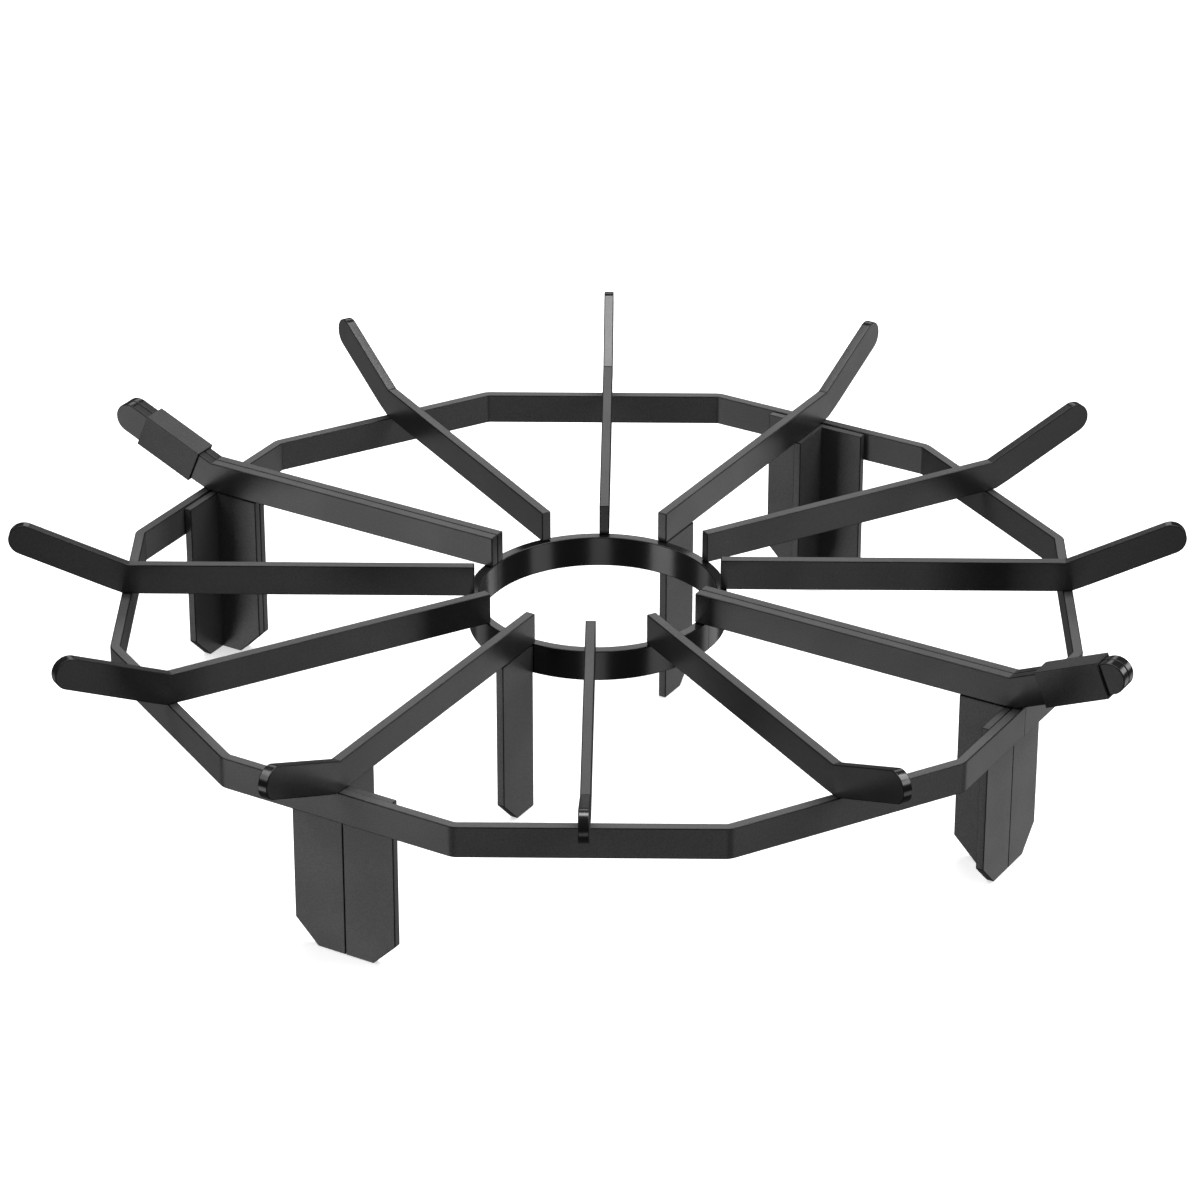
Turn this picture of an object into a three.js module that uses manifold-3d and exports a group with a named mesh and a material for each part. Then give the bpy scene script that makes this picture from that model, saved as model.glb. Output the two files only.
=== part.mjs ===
// A round log grate of welded flat bar, in two equal halves that two tube sleeves lock together.
//
// Millimetres, +Z up. The origin is on the floor under the middle of the grate. The straight line
// where the two halves meet runs along X; the back half lies on the +Y side, the front half on the
// -Y side. A half is drawn once, as the back half, and the front half is the same one turned by
// 180 degrees about Z.

import * as THREE from 'three';
import { mergeVertices } from 'three/addons/utils/BufferGeometryUtils.js';
import Module from 'manifold-3d';

const wasm = await Module();
wasm.setup();

// ---------- driving dimensions ----------

// Flat bar of the spokes and of both rings. It always stands on edge.
const BAR_HEIGHT = 25;
const BAR_THICKNESS = 8;

// Clearance where two pieces touch: at a weld, and between the two halves.
const SEAM = 0.3;

// Spokes.
const FAN_SPOKES = 5; // spokes of one half, between its two joint spokes
const SPOKE_RUN = 268; // level length, on the top edge, from the inner end to the bend
const BEND_ANGLE = 23.2; // degrees that the outer end rises
const TIP_LENGTH = 94; // from the bend to the end of the rounded tip, along the rise

// Rings.
const OUTER_RING_FLAT = 370; // from the middle of the grate to the outer face of a straight side
const INNER_RING_RADIUS = 99.5; // outer face
const INNER_RING_OFFSET = 2; // a half ring's centre, from the edge of its half

// Legs.
const LEG_LENGTH = 140;
const LEG_WIDTH = 43.5; // each flange of the angle iron, the strip and the inner leg
const LEG_THICKNESS = 6.5;
const FOOT_CHAMFER = 19.5; // cut at 45 degrees from the free lower corner of each flange
const RING_ABOVE_LEG = 1; // the rings' top edges stand this much above the legs' tops

// Lock sleeves: rectangular tube around a pair of joint spokes, on their rising ends.
const SLEEVE_LENGTH = 54;
const SLEEVE_WALL = 1.5;
const SLEEVE_CLEARANCE = 0.5; // all round the pair of bars
const RIGHT_SLEEVE_FROM_BEND = 23;
const LEFT_SLEEVE_FROM_BEND = 12;

// How finely a half circle is faceted.
const TIP_FACETS = 16;
const RING_FACETS = 36;

// Black powder coat on steel.
const COAT_COLOUR = 0x2b2b2c;
const COAT_ROUGHNESS = 0.48;
const COAT_METALNESS = 0.35;

// ---------- places worked out from them ----------

const SPOKE_PITCH = Math.PI / (FAN_SPOKES + 1); // and the outer ring has a straight side per spoke
const RISE = THREE.MathUtils.degToRad(BEND_ANGLE);

const HALF_EDGE = SEAM / 2; // where a half begins, from the joint plane
const JOINT_SPOKE_Y = HALF_EDGE + BAR_THICKNESS / 2; // centre line of a half's joint spokes
const INNER_RING_Y = HALF_EDGE + INNER_RING_OFFSET;
const FAN_Y = HALF_EDGE + BAR_THICKNESS; // the fan radiates from the joint spokes' outer faces

const RING_TOP = LEG_LENGTH + RING_ABOVE_LEG;
const RING_BOTTOM = RING_TOP - BAR_HEIGHT;
const SPOKE_BOTTOM = RING_TOP + SEAM;
const SPOKE_TOP = SPOKE_BOTTOM + BAR_HEIGHT;
const SPOKE_START = INNER_RING_RADIUS - BAR_THICKNESS; // flush with the inner ring's inner face
const BEND_RADIUS = SPOKE_START + SPOKE_RUN;

const OUTER_RING_INSIDE = OUTER_RING_FLAT - BAR_THICKNESS;
const LEG_RADIUS = OUTER_RING_INSIDE - SEAM; // outer faces of the joint and middle legs
const INNER_LEG_Y = INNER_RING_Y + INNER_RING_RADIUS + SEAM; // inner edge of the inner leg

// ---------- helpers ----------

const QUARTER_TURN = Math.PI / 2;
const HALF_TURN = Math.PI;

function coat() {
  return new THREE.MeshStandardMaterial({
    color: COAT_COLOUR,
    roughness: COAT_ROUGHNESS,
    metalness: COAT_METALNESS,
  });
}

function piece(name, geometry) {
  const mesh = new THREE.Mesh(geometry, coat());
  mesh.name = name;
  return mesh;
}

function extrude(shape, depth, facets) {
  return new THREE.ExtrudeGeometry(shape, { depth, bevelEnabled: false, curveSegments: facets });
}

// An outline drawn in (x, height) stands up: height goes to +Z, and the thickness lies from y = 0
// to y = thickness.
function standUp(outline, thickness, facets) {
  const geometry = extrude(outline, thickness, facets);
  geometry.rotateX(QUARTER_TURN);
  geometry.translate(0, thickness, 0);
  return geometry;
}

function polygon(points) {
  return new THREE.Shape(points.map(([x, y]) => new THREE.Vector2(x, y)));
}

function toSolid(geometry) {
  const bare = geometry.clone();
  bare.deleteAttribute('normal');
  bare.deleteAttribute('uv');
  const merged = mergeVertices(bare);
  const mesh = new wasm.Mesh({
    numProp: 3,
    vertProperties: new Float32Array(merged.attributes.position.array),
    triVerts: new Uint32Array(merged.index.array),
  });
  return new wasm.Manifold(mesh);
}

function toGeometry(solid) {
  const mesh = solid.getMesh();
  const geometry = new THREE.BufferGeometry();
  geometry.setAttribute('position', new THREE.BufferAttribute(mesh.vertProperties, 3));
  geometry.setIndex(new THREE.BufferAttribute(mesh.triVerts, 1));
  geometry.computeVertexNormals();
  return geometry;
}

// ---------- spokes ----------

// Side view of a spoke: level from its inner end at x = 0, then bent up, with a fully rounded tip.
// The underside is y = 0. Its bend lies further out than the top edge's, on the bend's mitre.
function spokeOutline() {
  const tipRadius = BAR_HEIGHT / 2;
  const straightRise = TIP_LENGTH - tipRadius;
  const undersideBend = SPOKE_RUN + BAR_HEIGHT * Math.tan(RISE / 2);
  const along = new THREE.Vector2(Math.cos(RISE), Math.sin(RISE));
  const upward = new THREE.Vector2(-along.y, along.x);
  const topTangent = new THREE.Vector2(SPOKE_RUN, BAR_HEIGHT).addScaledVector(along, straightRise);
  const tipCentre = topTangent.clone().addScaledVector(upward, -tipRadius);
  const lowTangent = tipCentre.clone().addScaledVector(upward, -tipRadius);

  const outline = new THREE.Shape();
  outline.moveTo(0, 0);
  outline.lineTo(undersideBend, 0);
  outline.lineTo(lowTangent.x, lowTangent.y);
  outline.absarc(tipCentre.x, tipCentre.y, tipRadius, RISE - QUARTER_TURN, RISE + QUARTER_TURN);
  outline.lineTo(SPOKE_RUN, BAR_HEIGHT);
  outline.lineTo(0, BAR_HEIGHT);
  outline.closePath();
  return outline;
}

// A spoke that leaves the point (0, centreY) at an angle from +X.
function spoke(name, centreY, angle) {
  const geometry = standUp(spokeOutline(), BAR_THICKNESS, TIP_FACETS);
  geometry.translate(SPOKE_START, -BAR_THICKNESS / 2, 0);
  const mesh = piece(name, geometry);
  mesh.position.set(0, centreY, SPOKE_BOTTOM);
  mesh.rotation.z = angle;
  return mesh;
}

// All spokes of one half, numbered anticlockwise seen from above. The first and the last lie along
// the joint, and the fan between them opens evenly to both sides of the middle one.
function spokes(half) {
  const made = [spoke(`${half}_spoke_1`, JOINT_SPOKE_Y, 0)];
  for (let i = 0; i < FAN_SPOKES; i += 1) {
    const fromMiddle = i - (FAN_SPOKES - 1) / 2;
    const angle = QUARTER_TURN + fromMiddle * SPOKE_PITCH;
    made.push(spoke(`${half}_spoke_${i + 2}`, FAN_Y, angle));
  }
  made.push(spoke(`${half}_spoke_${FAN_SPOKES + 2}`, JOINT_SPOKE_Y, HALF_TURN));
  return made;
}

// ---------- rings ----------

// Corners of one face of the outer half ring, from its right end to its left end.
function halfRingCorners(flatRadius) {
  const cornerRadius = flatRadius / Math.cos(SPOKE_PITCH / 2);
  const corners = [[flatRadius, HALF_EDGE]];
  for (let i = 0; i <= FAN_SPOKES; i += 1) {
    const angle = (i + 0.5) * SPOKE_PITCH;
    corners.push([cornerRadius * Math.cos(angle), cornerRadius * Math.sin(angle)]);
  }
  corners.push([-flatRadius, HALF_EDGE]);
  return corners;
}

function outerRing(half) {
  const outside = halfRingCorners(OUTER_RING_FLAT);
  const inside = halfRingCorners(OUTER_RING_INSIDE);
  const outline = polygon([...outside, ...inside.reverse()]);
  const mesh = piece(`${half}_outer_ring`, extrude(outline, BAR_HEIGHT));
  mesh.position.z = RING_BOTTOM;
  return mesh;
}

function innerRing(half) {
  const outside = INNER_RING_RADIUS;
  const inside = INNER_RING_RADIUS - BAR_THICKNESS;
  const outline = new THREE.Shape();
  outline.moveTo(outside, HALF_EDGE);
  outline.absarc(0, INNER_RING_Y, outside, 0, HALF_TURN, false);
  outline.lineTo(-outside, HALF_EDGE);
  outline.lineTo(-inside, HALF_EDGE);
  outline.absarc(0, INNER_RING_Y, inside, HALF_TURN, 0, true);
  outline.lineTo(inside, HALF_EDGE);
  outline.closePath();
  const mesh = piece(`${half}_inner_ring`, extrude(outline, BAR_HEIGHT, RING_FACETS));
  mesh.position.z = RING_BOTTOM;
  return mesh;
}

// ---------- legs ----------

// A flat leg plate from x = 0 to its width, standing on the floor, with its far lower corner cut.
function legPlate() {
  const outline = polygon([
    [0, 0],
    [LEG_WIDTH - FOOT_CHAMFER, 0],
    [LEG_WIDTH, FOOT_CHAMFER],
    [LEG_WIDTH, LEG_LENGTH],
    [0, LEG_LENGTH],
  ]);
  return standUp(outline, LEG_THICKNESS);
}

// An equal angle iron with its corner on the Z axis: one flange along +X, the other along +Y.
// The second flange is the plate turned a quarter, and shifted so that its thickness lies at +X.
function angleIron() {
  const second = legPlate();
  second.rotateZ(QUARTER_TURN);
  second.translate(LEG_THICKNESS, 0, 0);
  return toGeometry(toSolid(legPlate()).add(toSolid(second)));
}

function leg(name, geometry, x, y, turn) {
  const mesh = piece(name, geometry);
  mesh.position.set(x, y, 0);
  mesh.rotation.z = turn;
  return mesh;
}

// The right and left names are the grate's own, so they change places on the turned half.
function legs(half, firstSide, lastSide) {
  return [
    leg(`${half}_joint_leg_${firstSide}`, angleIron(), LEG_RADIUS, HALF_EDGE, QUARTER_TURN),
    leg(`${half}_joint_leg_${lastSide}`, angleIron(), -LEG_RADIUS, HALF_EDGE, 0),
    leg(`${half}_middle_leg_angle`, angleIron(), HALF_EDGE, LEG_RADIUS, -QUARTER_TURN),
    leg(`${half}_middle_leg_strip`, legPlate(), -HALF_EDGE, LEG_RADIUS, HALF_TURN),
    leg(`${half}_inner_leg`, legPlate(), LEG_THICKNESS / 2, INNER_LEG_Y, QUARTER_TURN),
  ];
}

// ---------- lock sleeves ----------

// Open rectangular tube along +X from x = 0, centred on Y and Z.
function tube() {
  const boreHeight = BAR_HEIGHT + 2 * SLEEVE_CLEARANCE;
  const boreWidth = 2 * BAR_THICKNESS + SEAM + 2 * SLEEVE_CLEARANCE;
  const rectangle = (height, width) => [
    [-height / 2, -width / 2],
    [height / 2, -width / 2],
    [height / 2, width / 2],
    [-height / 2, width / 2],
  ];
  const outline = polygon(rectangle(boreHeight + 2 * SLEEVE_WALL, boreWidth + 2 * SLEEVE_WALL));
  outline.holes.push(polygon(rectangle(boreHeight, boreWidth)));
  const geometry = extrude(outline, SLEEVE_LENGTH);
  geometry.rotateY(QUARTER_TURN);
  return geometry;
}

// The sleeve's frame sits at the joint spokes' top bend and is tilted along their rise.
function sleeve(name, fromBend, turn) {
  const mesh = piece(name, tube());
  mesh.position.set(fromBend, 0, -BAR_HEIGHT / 2);
  const tilted = new THREE.Group();
  tilted.position.set(BEND_RADIUS, 0, SPOKE_TOP);
  tilted.rotation.y = -RISE;
  tilted.add(mesh);
  const turned = new THREE.Group();
  turned.rotation.z = turn;
  turned.add(tilted);
  return turned;
}

// ---------- the grate ----------

function halfGrate(half, firstSide, lastSide, turn) {
  const group = new THREE.Group();
  group.add(outerRing(half), innerRing(half), ...spokes(half), ...legs(half, firstSide, lastSide));
  group.rotation.z = turn;
  return group;
}

const grate = new THREE.Group();
grate.add(halfGrate('back', 'right', 'left', 0));
grate.add(halfGrate('front', 'left', 'right', HALF_TURN));
grate.add(sleeve('right_sleeve', RIGHT_SLEEVE_FROM_BEND, 0));
grate.add(sleeve('left_sleeve', LEFT_SLEEVE_FROM_BEND, HALF_TURN));

export default grate;
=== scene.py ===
# %% [markdown]
# # A round log grate
# A log grate holds firewood up off the floor of a fire pit, so that air reaches the wood and ash
# falls away from it. This one is two equal halves of welded flat bar. They stand edge to edge along
# one straight joint, and two short tubes slid over the paired spokes lock them together.
#
# The CAD model already gives every piece its size and its place. It lacks what light finds on real
# steel: the small round of a rolled edge and the skin of a baked powder coat. The first step loads
# that model and measures it, because everything that follows is made around it.

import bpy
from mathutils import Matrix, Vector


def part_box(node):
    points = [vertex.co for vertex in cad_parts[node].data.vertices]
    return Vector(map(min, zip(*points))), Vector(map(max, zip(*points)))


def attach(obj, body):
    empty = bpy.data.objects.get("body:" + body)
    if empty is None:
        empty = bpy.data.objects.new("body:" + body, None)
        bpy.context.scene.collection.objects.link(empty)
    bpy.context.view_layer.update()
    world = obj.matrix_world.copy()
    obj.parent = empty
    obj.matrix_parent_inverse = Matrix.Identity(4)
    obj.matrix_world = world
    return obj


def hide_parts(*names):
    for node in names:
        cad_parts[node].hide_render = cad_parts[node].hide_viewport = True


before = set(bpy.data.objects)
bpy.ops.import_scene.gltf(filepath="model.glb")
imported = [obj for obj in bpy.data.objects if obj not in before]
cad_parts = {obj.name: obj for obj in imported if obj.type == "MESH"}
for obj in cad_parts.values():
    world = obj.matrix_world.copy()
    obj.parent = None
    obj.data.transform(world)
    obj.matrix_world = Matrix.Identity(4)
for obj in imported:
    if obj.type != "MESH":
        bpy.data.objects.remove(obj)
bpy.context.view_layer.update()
print("nodes:", len(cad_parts))

# %% Everything else this script needs
import math

import bmesh
import bpy
import numpy as np
from mathutils import Matrix, Vector

scene = bpy.context.scene

# %% [markdown]
# ## Sizes
# Most sizes are read off the frame: the box round a node gives the bar's height, a ring's radius or
# a leg's width. They could all be typed in, but what is read can't drift from the CAD. A box can't
# tell where a tilted piece bends, so the spoke's run, bend and tip, the cut of a foot and the
# sleeve's tube are written here as real sizes. All lengths are in metres.

# %% Sizes read off the frame
MM = 0.001


def corners(node):
    """The lowest and the highest corner of a node's box, as two arrays."""
    low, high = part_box(node)
    return np.array(low), np.array(high)


ring_low, ring_high = corners("back_outer_ring")
hoop_low, hoop_high = corners("back_inner_ring")
spoke_low, spoke_high = corners("back_spoke_1")
leg_low, leg_high = corners("back_inner_leg")

bar_height = ring_high[2] - ring_low[2]
bar_thickness = spoke_high[1] - spoke_low[1]
half_edge = ring_low[1]  # where a half begins, from the joint plane
ring_flat = ring_high[1]  # from the middle to the outer face of a straight side
hoop_radius = hoop_high[0]
hoop_centre_y = hoop_high[1] - hoop_radius
spoke_start = spoke_low[0]
spoke_bottom = spoke_low[2]
leg_width = leg_high[1] - leg_low[1]
leg_thickness = leg_high[0] - leg_low[0]
leg_length = leg_high[2]
print(f"bar {bar_height / MM:.1f} x {bar_thickness / MM:.1f} mm, ring {2 * ring_flat / MM:.0f} mm")
print(f"leg {leg_width / MM:.1f} x {leg_thickness / MM:.1f} x {leg_length / MM:.0f} mm")

# %% Sizes that a box can't tell
FAN_SPOKES = 5
SPOKE_PITCH = math.pi / (FAN_SPOKES + 1)
SPOKE_RUN = 268 * MM  # the level part's top edge
BEND_ANGLE = math.radians(23.2)
TIP_LENGTH = 94 * MM  # from the bend in the top edge to the end of the tip
FOOT_CHAMFER = 19.5 * MM  # what the cut takes off a flange, across and up
SLEEVE_LENGTH = 54 * MM
SLEEVE_WALL = 1.5 * MM
SLEEVE_CLEARANCE = 0.5 * MM
print(f"a spoke every {math.degrees(SPOKE_PITCH):.0f} degrees, bent {SPOKE_RUN / MM:.0f} mm out")

# %% [markdown]
# ## Skins
# Every piece here is bar, plate or tube, so each is one outline carried along a path. Blender could
# extrude a curve, but a surface worked out as one array keeps the corners exactly where the CAD has
# them. `skin` takes the outlines as a grid of points: one parameter goes round the outline, and the
# other goes along the path.


# %% A skin from a run of outlines
def skin(outlines, ring=False):
    """Points and faces of a surface of two parameters.

    outlines[v, u] is the point at step u round outline number v. Four neighbours of the grid,
    (v, u), (v, u + 1), (v + 1, u + 1) and (v + 1, u), make one face, and u always wraps round.
    A run of outlines ends in a flat face at each end, and those two faces come last. A ring of
    outlines wraps round in v too.
    """
    outlines = np.asarray(outlines, float)
    runs, steps = outlines.shape[:2]
    v, u = np.meshgrid(np.arange(runs if ring else runs - 1), np.arange(steps), indexing="ij")
    across, along = (u + 1) % steps, (v + 1) % runs
    quads = np.stack(
        [v * steps + u, v * steps + across, along * steps + across, along * steps + u], axis=-1
    )
    faces = quads.reshape(-1, 4).tolist()
    if not ring:
        last = (runs - 1) * steps
        faces += [list(range(steps)), list(range(last, last + steps))]
    return outlines.reshape(-1, 3), faces


def turned(points, angle, shift=(0, 0, 0)):
    """The points turned by an angle about the Z axis, and then moved by a shift."""
    c, s = math.cos(angle), math.sin(angle)
    spin = np.array([[c, -s, 0], [s, c, 0], [0, 0, 1]])
    return points @ spin.T + np.asarray(shift)


print("a box has", len(skin(np.zeros((2, 4, 3)))[1]), "faces")

# %% [markdown]
# ## The finish
# The steel is powder coated: dry paint is blown on and baked until it flows. Up close the skin is a
# fine peel of shallow bumps with a grain of lighter specks, and over a hand's width it is a little
# glossier here than there. A picture of paint could be wrapped round each piece, but noise worked
# out from the piece's own coordinates has no seams and stays sharp from near by.
#
# Both effects are wanted on every piece, in different amounts, so each is a node group with named
# sockets. A group puts out only a mask or a height: the shader itself stays in each material.


# %% Helpers for nodes
def new_group(name, size, outputs):
    """A node group that takes coordinates and a size (with a default) and puts out floats.

    Besides the group and its two ends it returns one over the size, which is a noise's scale.
    """
    group = bpy.data.node_groups.new(name, "ShaderNodeTree")
    group.interface.new_socket("Coordinates", in_out="INPUT", socket_type="NodeSocketVector")
    made = group.interface.new_socket("Size", in_out="INPUT", socket_type="NodeSocketFloat")
    made.default_value = size
    for socket in outputs:
        group.interface.new_socket(socket, in_out="OUTPUT", socket_type="NodeSocketFloat")
    entry = group.nodes.new("NodeGroupInput")
    leave = group.nodes.new("NodeGroupOutput")
    per_size = add_node(group, "ShaderNodeMath", operation="DIVIDE")
    per_size.inputs[0].default_value = 1
    group.links.new(entry.outputs["Size"], per_size.inputs[1])
    return group, entry, leave, per_size.outputs[0]


def add_node(tree, kind, **settings):
    """A node with its settings. A setting whose name is a socket's sets that socket."""
    node = tree.nodes.new(kind)
    for key, value in settings.items():
        socket = key.replace("_", " ").title()
        if socket in node.inputs:
            node.inputs[socket].default_value = value
        else:
            setattr(node, key, value)
    return node


# %% The peel of the powder
PEEL_SIZE = 1.8 * MM
GRAIN_FINENESS = 2  # the grain is this many times as fine as the peel
GRAIN_SHARE = 1 / 3  # how much of the grain is added to the peel's height
NOISE_LOW, NOISE_HIGH = 0.35, 0.65  # nearly all of a noise's values lie between these


def powder_peel():
    """Height: noise at the peel's size plus the grain's share of finer noise.

    Speck: the finer noise alone, spread so that it runs from 0 to 1.
    """
    group, entry, leave, scale = new_group("powder_peel", PEEL_SIZE, ["Height", "Speck"])
    broad = add_node(group, "ShaderNodeTexNoise", detail=1, roughness=0.5)
    fine_scale = add_node(group, "ShaderNodeMath", operation="MULTIPLY")
    fine_scale.inputs[1].default_value = GRAIN_FINENESS
    fine = add_node(group, "ShaderNodeTexNoise", detail=2, roughness=0.6)
    speck = add_node(group, "ShaderNodeMapRange", from_min=NOISE_LOW, from_max=NOISE_HIGH)
    height = add_node(group, "ShaderNodeMath", operation="MULTIPLY_ADD")
    height.inputs[1].default_value = GRAIN_SHARE
    links = group.links
    links.new(entry.outputs["Coordinates"], broad.inputs["Vector"])
    links.new(entry.outputs["Coordinates"], fine.inputs["Vector"])
    links.new(scale, broad.inputs["Scale"])
    links.new(scale, fine_scale.inputs[0])
    links.new(fine_scale.outputs[0], fine.inputs["Scale"])
    links.new(fine.outputs[0], height.inputs[0])
    links.new(broad.outputs[0], height.inputs[2])
    links.new(height.outputs[0], leave.inputs["Height"])
    links.new(fine.outputs[0], speck.inputs["Value"])
    links.new(speck.outputs["Result"], leave.inputs["Speck"])
    return group


PEEL = powder_peel()
print(f"{PEEL.name}: bumps of {PEEL_SIZE / MM:.1f} mm")

# %% Where the coat flowed more
MOTTLE_SIZE = 60 * MM


def flow_mottle():
    """Mask: slow noise, stretched so that half of the surface lies near 0 and half near 1."""
    group, entry, leave, scale = new_group("flow_mottle", MOTTLE_SIZE, ["Mask"])
    noise = add_node(group, "ShaderNodeTexNoise", detail=3, roughness=0.55)
    spread = add_node(
        group,
        "ShaderNodeMapRange",
        interpolation_type="SMOOTHSTEP",
        from_min=NOISE_LOW,
        from_max=NOISE_HIGH,
    )
    links = group.links
    links.new(entry.outputs["Coordinates"], noise.inputs["Vector"])
    links.new(scale, noise.inputs["Scale"])
    links.new(noise.outputs[0], spread.inputs["Value"])
    links.new(spread.outputs["Result"], leave.inputs["Mask"])
    return group


MOTTLE = flow_mottle()
print(f"{MOTTLE.name}: patches of {MOTTLE_SIZE / MM:.0f} mm")

# %% [markdown]
# Baked paint is no metal: it scatters a little light and mirrors the rest at a glance. The spokes
# are nearly black and satin, the legs and the outer ring are charcoal and more matt, and the
# sleeves lie between them. What is rolled or ground round, the inner ring and the spokes' tips, is
# the darkest and the glossiest. Five materials could be built one by one. One recipe with other
# values for each keeps them a family.

# %% The coat
MOTTLE_IN_COLOUR = 0.15  # how far the mottle shifts the colour from dark to light
BUMP_STRENGTH = 0.35


def coat(name, dark, light, gloss, peel_size, peel_depth, shine=0.5):
    """Powder coat: the specks and a little of the mottle move its colour from dark to light.

    The mottle also moves its roughness across gloss, and the peel's height bends its normal.
    """
    material = bpy.data.materials.new(name)
    material.use_nodes = True
    tree = material.node_tree
    shader = tree.nodes["Principled BSDF"]
    shader.inputs["Specular IOR Level"].default_value = shine

    place = add_node(tree, "ShaderNodeTexCoord")
    peel = add_node(tree, "ShaderNodeGroup", node_tree=PEEL, size=peel_size)
    mottle = add_node(tree, "ShaderNodeGroup", node_tree=MOTTLE)
    tone = add_node(tree, "ShaderNodeMath", operation="MULTIPLY_ADD")
    tone.inputs[1].default_value = MOTTLE_IN_COLOUR
    colour = add_node(tree, "ShaderNodeMix", data_type="RGBA", a=(*dark, 1), b=(*light, 1))
    roughness = add_node(tree, "ShaderNodeMapRange", to_min=gloss[0], to_max=gloss[1])
    bump = add_node(tree, "ShaderNodeBump", strength=BUMP_STRENGTH, distance=peel_depth)

    links = tree.links
    links.new(place.outputs["Object"], peel.inputs["Coordinates"])
    links.new(place.outputs["Object"], mottle.inputs["Coordinates"])
    links.new(mottle.outputs["Mask"], tone.inputs[0])
    links.new(peel.outputs["Speck"], tone.inputs[2])
    links.new(tone.outputs[0], colour.inputs["Factor"])
    links.new(colour.outputs["Result"], shader.inputs["Base Color"])
    links.new(mottle.outputs["Mask"], roughness.inputs["Value"])
    links.new(roughness.outputs["Result"], shader.inputs["Roughness"])
    links.new(peel.outputs["Height"], bump.inputs["Height"])
    links.new(bump.outputs["Normal"], shader.inputs["Normal"])
    return material


# Each colour: the coat between the specks, and the specks.
CHARCOAL = ((0.029, 0.029, 0.0295), (0.060, 0.060, 0.061))
GRAPHITE = ((0.016, 0.016, 0.0163), (0.038, 0.038, 0.0385))
BLACK = ((0.009, 0.009, 0.0093), (0.027, 0.027, 0.0277))
JET = ((0.004, 0.004, 0.004), (0.007, 0.007, 0.007))
# Each coat: its colour, its roughness from and to, and the size and the depth of its peel.
bar_coat = coat("bar_coat", *BLACK, (0.28, 0.32), PEEL_SIZE, 0.09 * MM)
leg_coat = coat("leg_coat", *CHARCOAL, (0.38, 0.42), 2.0 * MM, 0.13 * MM, shine=0.55)
sleeve_coat = coat("sleeve_coat", *GRAPHITE, (0.38, 0.42), PEEL_SIZE, 0.10 * MM)
round_coat = coat("round_coat", *JET, (0.18, 0.22), PEEL_SIZE, 0.02 * MM)
# The edge coat's nearly black colour is painted shade: the dark line of shade along every edge.
painted_shade_edge_coat = coat("painted_shade_edge_coat", *JET, (0.34, 0.40), PEEL_SIZE, 0.02 * MM, shine=0.3)
print("materials:", ", ".join(m.name for m in bpy.data.materials))

# %% [markdown]
# ## From skin to piece
# A sheared or rolled edge is never a perfect corner, and molten powder draws back from it, so the
# coat on that small round is thin and dull. Its nearly black colour is painted shade: it draws a
# fine dark line of shade round every face of the grate. The round could be worked into each outline,
# but a Bevel modifier makes it for all corners alike, and can give it a material slot of its own.
# Each edge's bevel weight says how much of the round it gets: the rings' sawn ends, where the halves
# meet, stay nearly sharp, so that the joint is a hair line. A Weighted Normal modifier after it
# keeps the wide faces flat to the light.

# %% A finished piece
CORNER_ANGLE = math.radians(15)  # two faces that meet at more than this make an edge
SAWN_EDGE = 0.15  # a sawn end is only just broken: this share of the edge's round
EDGE_SEGMENTS = 3
EDGE_SLOT, ROUND_SLOT = 1, 2  # the piece's own coat is slot 0
WIDE_FACES_RULE = 100  # the most weight that a wide face can have over a narrow one
CUBIC_CM = (10 * MM) ** 3


def finished(node, body, points, faces, material, edge, rounds=(), sawn=()):
    """Makes the piece that stands for a CAD node: a closed mesh with rounded edges and its coat.

    The round on its edges is as wide as edge. The faces whose numbers are in rounds take the
    coat of a round part, and those in sawn are sawn ends, whose edges stay nearly sharp.
    """
    mesh = bpy.data.meshes.new(node + "_coated")
    mesh.from_pydata(points.tolist(), [], faces)
    coats = [material, painted_shade_edge_coat]
    if rounds:
        coats.append(round_coat)
    for slot in coats:
        mesh.materials.append(slot)
    for number in rounds:
        mesh.polygons[number].material_index = ROUND_SLOT
    shell = bmesh.new()
    shell.from_mesh(mesh)
    bmesh.ops.recalc_face_normals(shell, faces=shell.faces)
    volume = shell.calc_volume(signed=True)
    weight = shell.edges.layers.float.new("bevel_weight_edge")
    for line in shell.edges:
        if line.calc_face_angle(0) > CORNER_ANGLE:
            at_end = any(face.index in sawn for face in line.link_faces)
            line[weight] = SAWN_EDGE if at_end else 1
    shell.to_mesh(mesh)
    shell.free()
    mesh.polygons.foreach_set("use_smooth", np.ones(len(mesh.polygons), bool))

    piece = bpy.data.objects.new(mesh.name, mesh)
    scene.collection.objects.link(piece)
    rolled = piece.modifiers.new("rolled_edge", "BEVEL")
    rolled.width = edge
    rolled.segments = EDGE_SEGMENTS
    rolled.limit_method = "WEIGHT"
    # The bevel's faces take the edge coat, whose nearly black colour is painted shade.
    rolled.material = EDGE_SLOT
    flat = piece.modifiers.new("flat_sides", "WEIGHTED_NORMAL")
    flat.weight = WIDE_FACES_RULE

    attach(piece, body)
    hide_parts(node)
    low, high = corners(node)
    off = max(np.abs(points.min(0) - low).max(), np.abs(points.max(0) - high).max())
    print(f"{node}: {volume / CUBIC_CM:.1f} cm3, {off / MM:.2f} mm from the node's box")


# %% [markdown]
# ## Spokes
# Each spoke is flat bar on edge: level over both rings, bent up once at the rim, and rounded to a
# half circle at the tip so that nobody is cut by it. Bending a bar on edge is hard on it: the
# underside is stretched at the bend, and the bar thins there, so each side has a shallow hollow that
# spreads from the lower corner. A plain outline can't hold that. The side therefore gets a small
# grid round the bend, and the rest of it stays two large flat faces. Two spokes of a half lie along
# the joint; the other five fan out from the joint spokes' outer faces.

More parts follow.
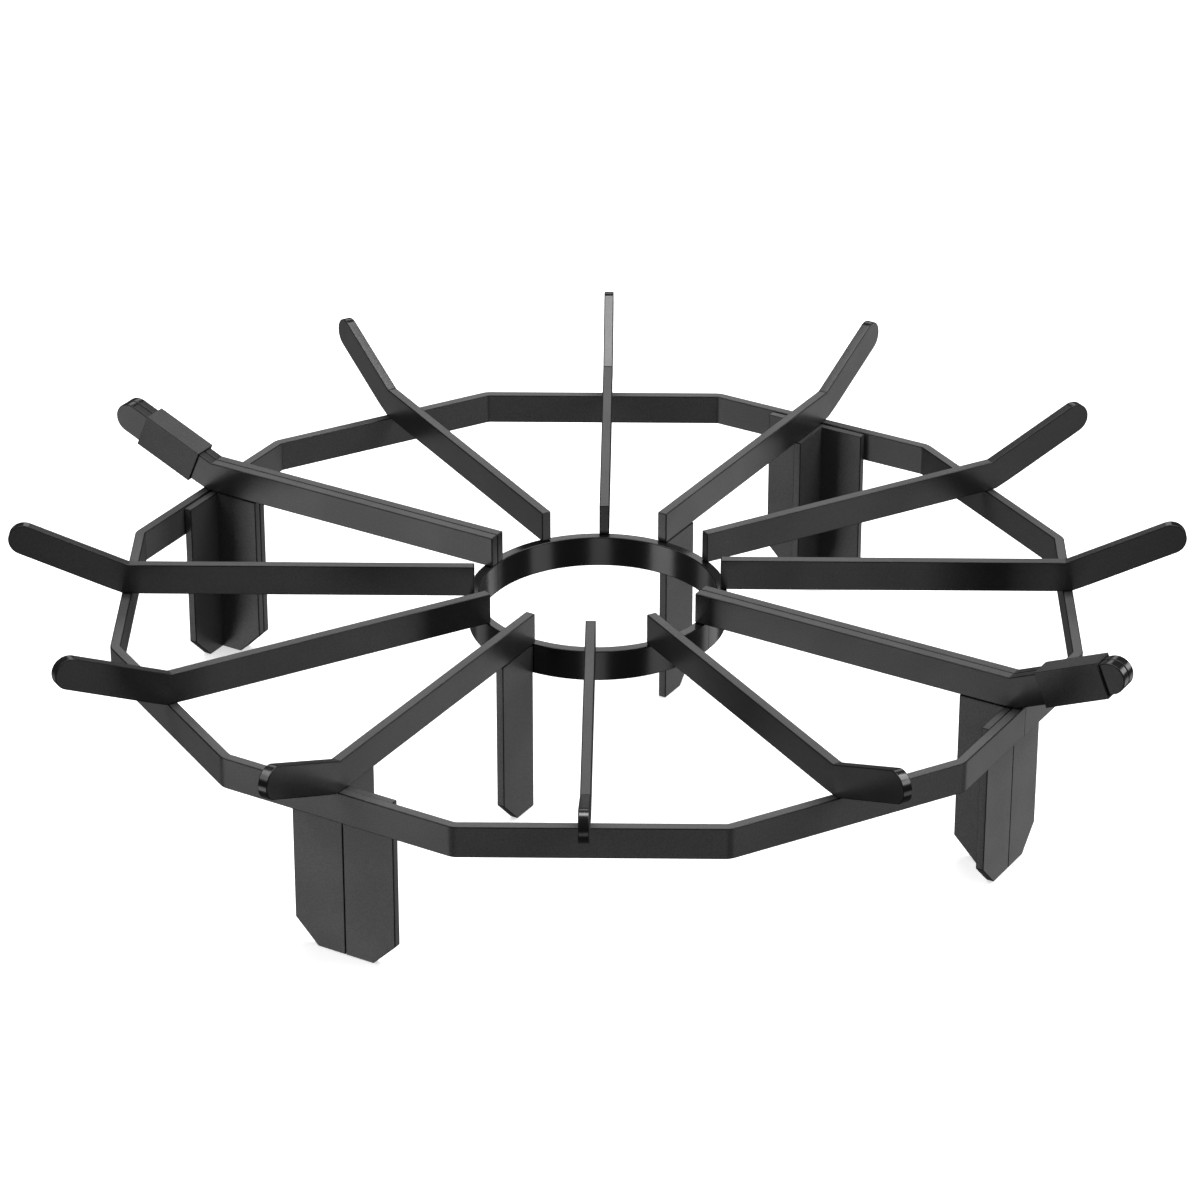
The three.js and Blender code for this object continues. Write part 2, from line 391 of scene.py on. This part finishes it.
# %% The spoke's side
TIP_STEPS = 33
HOLLOW_REACH = 34 * MM  # of the fine grid, to each side of the bend
HOLLOW_COLUMNS = 19
CROWDING = 1.4  # above 1, the columns stand closer together near the bend
HOLLOW_ROWS = np.array([0, 0.12, 0.26, 0.42, 0.6, 0.8, 1])  # from the underside to the top
TOP_BEND = np.array([SPOKE_RUN, bar_height])
LOW_BEND = np.array([SPOKE_RUN + bar_height * math.tan(BEND_ANGLE / 2), 0])


def spoke_side():
    """Side view of a spoke: points as (distance out, height), faces, border, and tip's numbers.

    The underside bends at the run plus height times tan of half the bend, on the bend's mitre. The
    tip is a half circle of half the bar's height, its centre that radius short of the tip's end.
    Round the bend lies a grid whose columns run parallel to the mitre and crowd towards it.
    """
    radius = bar_height / 2
    out = np.array([math.cos(BEND_ANGLE), math.sin(BEND_ANGLE)])
    up = np.array([-out[1], out[0]])
    centre = TOP_BEND + (TIP_LENGTH - radius) * out - radius * up
    angle = BEND_ANGLE + np.linspace(-math.pi / 2, math.pi / 2, TIP_STEPS)
    tip = centre + radius * np.stack([np.cos(angle), np.sin(angle)], axis=1)

    step = np.linspace(-1, 1, HOLLOW_COLUMNS)
    reach = (np.sign(step) * np.abs(step) ** CROWDING * HOLLOW_REACH)[:, None]
    away = reach * np.where(reach < 0, (1, 0), out)
    grid = (LOW_BEND + away)[:, None] + HOLLOW_ROWS[:, None] * (TOP_BEND - LOW_BEND)

    points = np.vstack([[0, 0], [0, bar_height], grid.reshape(-1, 2), tip])
    number = 2 + np.arange(grid.shape[0] * grid.shape[1]).reshape(grid.shape[:2])
    tip_number = np.arange(len(points) - len(tip), len(points))
    quads = np.stack([number[:-1, :-1], number[1:, :-1], number[1:, 1:], number[:-1, 1:]], axis=-1)
    faces = quads.reshape(-1, 4).tolist()
    faces.append([0, *number[0], 1])
    faces.append([number[-1, 0], *tip_number, *number[-1, :0:-1]])
    border = [0, *number[:, 0], *tip_number, *number[::-1, -1], 1]
    return points, faces, border, tip_number


print(f"the underside of a spoke bends {LOW_BEND[0] / MM:.1f} mm out")

# %% The spoke's skin
HOLLOW_DEPTH = 0.6 * MM
HOLLOW_RADIUS = 9 * MM


def spoke_skin(centre_y, angle):
    """Two equal sides and a band between their borders, turned and put in place.

    Each side sinks by the hollow's depth times e to minus the square of (the distance from the
    underside's bend over the hollow's radius).
    """
    side, side_faces, border, tip = spoke_side()
    away = np.linalg.norm(side - LOW_BEND, axis=1) / HOLLOW_RADIUS
    half = bar_thickness / 2 - HOLLOW_DEPTH * np.exp(-(away**2))
    near = np.stack([spoke_start + side[:, 0], -half, side[:, 1]], axis=1)
    points = np.vstack([near, near * (1, -1, 1)])
    other = len(side)
    faces = side_faces + [[i + other for i in reversed(face)] for face in side_faces]
    rounds = []
    for a, b in zip(border, border[1:] + border[:1]):
        if a in tip and b in tip:
            rounds.append(len(faces))
        faces.append([a, a + other, b + other, b])
    return turned(points, angle, (0, centre_y, spoke_bottom)), faces, rounds


print(f"a spoke thins to {(bar_thickness - 2 * HOLLOW_DEPTH) / MM:.1f} mm at its bend")

# %% All fourteen spokes
BAR_EDGE = 0.8 * MM
HALF_TURNS = {"back": 0, "front": math.pi}
joint_spoke_y = half_edge + bar_thickness / 2
fan_y = half_edge + bar_thickness
spoke_places = [(joint_spoke_y, 0)]
for step in range(FAN_SPOKES):
    spoke_places.append((fan_y, (step + 1) * SPOKE_PITCH))
spoke_places.append((joint_spoke_y, math.pi))

for half, half_turn in HALF_TURNS.items():
    for number, (centre_y, angle) in enumerate(spoke_places, start=1):
        points, faces, rounds = spoke_skin(centre_y, angle)
        points = turned(points, half_turn)
        finished(f"{half}_spoke_{number}", "grate", points, faces, bar_coat, BAR_EDGE, rounds)

# %% [markdown]
# ## Rings
# Both rings are the same bar on edge. The outer one is bent between every two spokes, over a former
# of small radius, and the inner one is rolled round. Either way the section is a rectangle that
# travels round the grate, so the path needs an outline every few degrees where it turns and none
# where it is straight. A sharp corner would be quicker, but no press bends steel like that. Each
# half ring is sawn off square at the joint, where it meets the other half's in a hair line.

# %% A half ring
RING_BEND_RADIUS = 14 * MM  # outer face of the bar, at each corner of the outer ring
RING_BEND_STEPS = 9
ROLL_STEPS = 97


def directions(angles):
    """Unit vectors in the plane, one for each angle."""
    return np.stack([np.cos(angles), np.sin(angles)], axis=1)


def ring_outlines(angles, centres, outer_radius, low, high):
    """A rectangle carried round arcs: at each angle its corners lie on two radii from a centre."""
    inner_radius = outer_radius - bar_thickness
    radius = np.array([inner_radius, outer_radius, outer_radius, inner_radius])
    height = np.array([low, low, high, high])
    centres = np.broadcast_to(centres, (len(angles), 2))
    plan = radius[:, None] * directions(angles)[:, None] + centres[:, None]
    return np.dstack([plan, np.broadcast_to(height, plan.shape[:2])])


def outer_ring_skin():
    """Straight sides with a small arc at each corner, halfway between two spokes.

    An arc that touches two sides has its centre at (the flat's distance minus the arc's radius)
    over cos of half the turn, and spans half the turn to each side of the corner.
    """
    half_turn = SPOKE_PITCH / 2
    corner_angles = (np.arange(FAN_SPOKES + 1) + 0.5) * SPOKE_PITCH
    sweep = np.linspace(-half_turn, half_turn, RING_BEND_STEPS)
    angles = (corner_angles[:, None] + sweep).ravel()
    centres = (ring_flat - RING_BEND_RADIUS) / math.cos(half_turn) * directions(corner_angles)
    centres = np.repeat(centres, len(sweep), axis=0)
    bends = ring_outlines(angles, centres, RING_BEND_RADIUS, ring_low[2], ring_high[2])
    right_end = bends[0].copy()
    right_end[:, 1] = half_edge
    right_end[:, 0] = [ring_flat - bar_thickness, ring_flat, ring_flat, ring_flat - bar_thickness]
    left_end = right_end * (-1, 1, 1)
    return skin([right_end, *bends, left_end])


def inner_ring_skin():
    """A half circle of radius from its own centre, and a short straight to the joint's edge."""
    angles = np.linspace(0, math.pi, ROLL_STEPS)
    arc = ring_outlines(angles, (0, hoop_centre_y), hoop_radius, hoop_low[2], hoop_high[2])
    right_end, left_end = arc[0].copy(), arc[-1].copy()
    right_end[:, 1] = left_end[:, 1] = half_edge
    return skin([right_end, *arc, left_end])


RINGS = {"outer_ring": (outer_ring_skin(), leg_coat), "inner_ring": (inner_ring_skin(), round_coat)}
print("faces of half a ring:", [len(faces) for (points, faces), ring_coat in RINGS.values()])

# %% Both rings of both halves
for half, half_turn in HALF_TURNS.items():
    for ring, ((points, faces), ring_coat) in RINGS.items():
        points = turned(points, half_turn)
        ends = (len(faces) - 2, len(faces) - 1)
        finished(f"{half}_{ring}", "grate", points, faces, ring_coat, BAR_EDGE, sawn=ends)

# %% [markdown]
# ## Legs
# The legs stand inside the outer ring: angle iron back to back at the two ends of the joint, angle
# iron and a flat strip under each middle spoke, and one plate against the inner ring. The free lower
# corner of every flange is cut off. Plates could be joined and then cut, but a leg is also its plan
# carried upwards, with flanges that are short at the foot and grow to full width over the height of
# the cut. That way it is closed from the start.

# %% Leg plans
# Each corner of a plan is so many reaches plus so many thicknesses from the origin, along X and Y.
PLATE_PLAN = (
    np.array([(0, 0), (1, 0), (1, 0), (0, 0)]),  # reaches
    np.array([(0, 0), (0, 0), (0, 1), (0, 1)]),  # thicknesses
)
ANGLE_PLAN = (
    np.array([(0, 0), (1, 0), (1, 0), (0, 0), (0, 1), (0, 1)]),
    np.array([(0, 0), (0, 0), (0, 1), (1, 1), (1, 0), (0, 0)]),
)


def leg_skin(plan):
    """The plan carried up: its reach is the leg's width less what the cut still takes away."""
    reaches, thicknesses = plan
    height = np.array([0, FOOT_CHAMFER, leg_length])
    reach = leg_width - np.maximum(0, FOOT_CHAMFER - height)
    flat = reach[:, None, None] * reaches + leg_thickness * thicknesses
    return skin(np.dstack([flat, np.broadcast_to(height[:, None], flat.shape[:2])]))


print(f"a flange is {(leg_width - FOOT_CHAMFER) / MM:.1f} mm wide at the foot")

# %% All ten legs
QUARTER = math.pi / 2
LEG_EDGE = 0.7 * MM
# Each leg of the back half: its plan, its turn, and which corner of its node's box it starts from
# (0 is the low side and 1 the high side, in X and in Y).
BACK_LEGS = {
    "joint_leg_right": (ANGLE_PLAN, QUARTER, (1, 0)),
    "joint_leg_left": (ANGLE_PLAN, 0, (0, 0)),
    "middle_leg_angle": (ANGLE_PLAN, -QUARTER, (0, 1)),
    "middle_leg_strip": (PLATE_PLAN, 2 * QUARTER, (1, 1)),
    "inner_leg": (PLATE_PLAN, QUARTER, (1, 0)),
}
# Right and left are the grate's own, so they change places on the turned half.
FRONT_NAMES = {"joint_leg_right": "joint_leg_left", "joint_leg_left": "joint_leg_right"}

for leg, (plan, leg_turn, start) in BACK_LEGS.items():
    box = corners(f"back_{leg}")
    points, faces = leg_skin(plan)
    points = turned(points, leg_turn, (box[start[0]][0], box[start[1]][1], 0))
    finished(f"back_{leg}", "grate", points, faces, leg_coat, LEG_EDGE)
    front = f"front_{FRONT_NAMES.get(leg, leg)}"
    finished(front, "grate", turned(points, math.pi), faces, leg_coat, LEG_EDGE)

# %% [markdown]
# ## Lock sleeves
# Each sleeve is a length of rectangular tube, slid over two spoke tips to hold the halves together.
# A thin box with a Solidify modifier would do, but then the bore depends on the modifier. Here a
# tube is a skin that closes both ways, out along the outer wall and back along the bore, so the
# clearance round the bars is exact. It lies round the middle of its node's box, tilted as the
# spokes rise.


# %% The sleeves
def sleeve_skin(side):
    """Four outlines of a tube: outer wall near and far, then bore far and near."""
    bore = np.array([2 * bar_thickness + 2 * half_edge, bar_height]) / 2 + SLEEVE_CLEARANCE
    corner = np.array([(-1, -1), (1, -1), (1, 1), (-1, 1)])
    along = np.array([side * math.cos(BEND_ANGLE), 0, math.sin(BEND_ANGLE)])
    up = np.array([-side * math.sin(BEND_ANGLE), 0, math.cos(BEND_ANGLE)])
    width = np.array([0, 1, 0])
    wall = np.array([SLEEVE_WALL, SLEEVE_WALL, 0, 0])
    end = np.array([-1, 1, 1, -1]) * SLEEVE_LENGTH / 2
    across = corner * (bore + wall[:, None, None])
    return skin(across @ np.stack([width, up]) + end[:, None, None] * along, ring=True)


SLEEVE_EDGE = 0.3 * MM
for name, side in (("right", 1), ("left", -1)):
    low, high = corners(f"{name}_sleeve")
    points, faces = sleeve_skin(side)
    points = points + (low + high) / 2
    finished(f"{name}_sleeve", f"{name}_lock", points, faces, sleeve_coat, SLEEVE_EDGE)

# %% [markdown]
# ## Camera
# The camera stands where the photograph's did: 27 degrees up and 3.6 metres off, with a long lens.
# A wider lens from close by would show the same pieces, but the far spokes would shrink. The grate
# is turned 31 degrees from it, which shows the joint running from upper left to lower right.

# %% The camera
CAMERA_TURN = math.radians(30.66)
CAMERA_ELEVATION = math.radians(27.18)
CAMERA_ROLL = math.radians(0.07)
CAMERA_DISTANCE = 3.6305
LENS = 142.59  # focal length in millimetres
AIM = Vector((0.0018, -0.0649, 0.1663))  # seen from the front, before the turn
FAR_CLIP = 100

turn = Matrix.Rotation(CAMERA_TURN, 3, "Z")
back = turn @ Vector((0, -math.cos(CAMERA_ELEVATION), math.sin(CAMERA_ELEVATION)))
camera = bpy.data.objects.new("camera", bpy.data.cameras.new("camera"))
camera.data.lens = LENS
camera.data.clip_end = FAR_CLIP
camera.location = turn @ AIM + back * CAMERA_DISTANCE
look = (-back).to_track_quat("-Z", "Y")
camera.rotation_mode = "QUATERNION"
camera.rotation_quaternion = look @ Matrix.Rotation(CAMERA_ROLL, 3, "Z").to_quaternion()
scene.collection.objects.link(camera)
scene.camera = camera
print("camera at", [round(x, 2) for x in camera.location])

# %% [markdown]
# ## Studio
# A dark glossy coat shows little of its own colour: what is seen on it is the studio. The camera
# looks down by 27 degrees, so an upright face mirrors what lies 27 degrees below the level, and a
# level top mirrors what lies 27 degrees above it at the back. Five soft cards stand low round the
# grate for the upright faces, with dark gaps between them, and those gaps make the dark bands on
# the inner ring. One box at the back lights the level tops. Large boxes overhead and at half
# height light the rising tops and run as one highlight over each tip, and a narrow one catches the
# two tips on the right.
#
# A light at arm's length would give each end of a spoke another tone. All the boxes stand 9 metres
# off and are as much larger, so that a face is lit evenly from end to end. The low cards shine
# through the floor: the floor is there for the camera alone, and takes no part in reflections.

# %% Softboxes
BOX_DISTANCE = 9.0
LIT_POINT = Vector((0, 0, 0.12))  # what every box is aimed at


def softbox(name, bearing, elevation, size, power):
    """Adds an area light aimed at the grate. Bearing 0 is towards the camera, 90 to its right."""
    a, e = math.radians(bearing), math.radians(elevation)
    towards = turn @ Vector((math.sin(a) * math.cos(e), -math.cos(a) * math.cos(e), math.sin(e)))
    data = bpy.data.lights.new(name, "AREA")
    data.shape = "RECTANGLE"
    data.size, data.size_y = size
    data.energy = power
    light = bpy.data.objects.new(name, data)
    light.location = LIT_POINT + towards * BOX_DISTANCE
    light.rotation_mode = "QUATERNION"
    light.rotation_quaternion = towards.to_track_quat("Z", "Y")
    light.visible_camera = False
    scene.collection.objects.link(light)


SOFTBOXES = {
    # name: bearing, elevation, (width, height), watts
    "overhead": (163, 75, (5.0, 3.2), 540),
    "overhead_left": (-95, 60, (5.4, 3.6), 290),
    "overhead_right": (102, 60, (5.4, 3.6), 430),
    "top_back": (180, 28, (3.0, 2.7), 38),
    "left_middle": (-66, 36, (3.6, 3.6), 110),
    "right_middle": (66, 36, (3.6, 3.6), 190),
    "right_end": (114, 16, (2.4, 3.2), 110),
    "left_low": (-66, -27, (3.6, 3.6), 98),
    "left_back_low": (-127, -27, (3.0, 3.6), 13),
    "front_low": (-1, -27, (2.7, 3.6), 33),
    "right_low": (60, -27, (3.3, 3.6), 45),
    "right_back_low": (124, -27, (3.0, 3.6), 36),
}
for name, settings in SOFTBOXES.items():
    softbox(name, *settings)
print("lights:", len(SOFTBOXES))

# %% [markdown]
# ## Floor and background
# The floor is a plain pale sheet, a hair below the feet so that the two don't flicker together. It
# glows a little, and the background is white to the camera, so that the two meet without a line.
# For everything but the camera the background is nearly dark: a bright one would lie on every face
# like fog and wash out the bands. Colours are shown as they are, in the Standard view, because a
# film-like one would lift the blacks to grey.

# %% The floor
FLOOR_REACH = 12.0
FLOOR_DROP = 0.4 * MM
FLOOR_COLOUR = (0.8, 0.8, 0.8, 1)
FLOOR_ROUGHNESS = 0.9
FLOOR_GLOW = 0.6

floor_mesh = bpy.data.meshes.new("floor")
floor_corners = np.array([(-1, -1, 0), (1, -1, 0), (1, 1, 0), (-1, 1, 0)]) * FLOOR_REACH
floor_mesh.from_pydata((floor_corners - (0, 0, FLOOR_DROP)).tolist(), [], [[0, 1, 2, 3]])
floor = bpy.data.objects.new("floor", floor_mesh)
scene.collection.objects.link(floor)
floor.visible_glossy = floor.visible_diffuse = floor.visible_shadow = False

pale = bpy.data.materials.new("pale_floor")
pale.use_nodes = True
pale_shader = pale.node_tree.nodes["Principled BSDF"]
pale_shader.inputs["Base Color"].default_value = FLOOR_COLOUR
pale_shader.inputs["Roughness"].default_value = FLOOR_ROUGHNESS
pale_shader.inputs["Emission Color"].default_value = (1, 1, 1, 1)
pale_shader.inputs["Emission Strength"].default_value = FLOOR_GLOW
floor_mesh.materials.append(pale)
print("floor:", 2 * FLOOR_REACH, "m square")

# %% The background
SEEN_BY_CAMERA = 1.0
SEEN_BY_STEEL = 0.08

world = bpy.data.worlds.new("studio")
world.use_nodes = True
scene.world = world
sky = world.node_tree.nodes["Background"]
sky.inputs["Color"].default_value = (1, 1, 1, 1)
light_path = add_node(world.node_tree, "ShaderNodeLightPath")
brightness = add_node(
    world.node_tree, "ShaderNodeMapRange", to_min=SEEN_BY_STEEL, to_max=SEEN_BY_CAMERA
)
world.node_tree.links.new(light_path.outputs["Is Camera Ray"], brightness.inputs["Value"])
world.node_tree.links.new(brightness.outputs["Result"], sky.inputs["Strength"])

scene.view_settings.view_transform = "Standard"
print("background:", SEEN_BY_CAMERA, "to the camera and", SEEN_BY_STEEL, "to the steel")
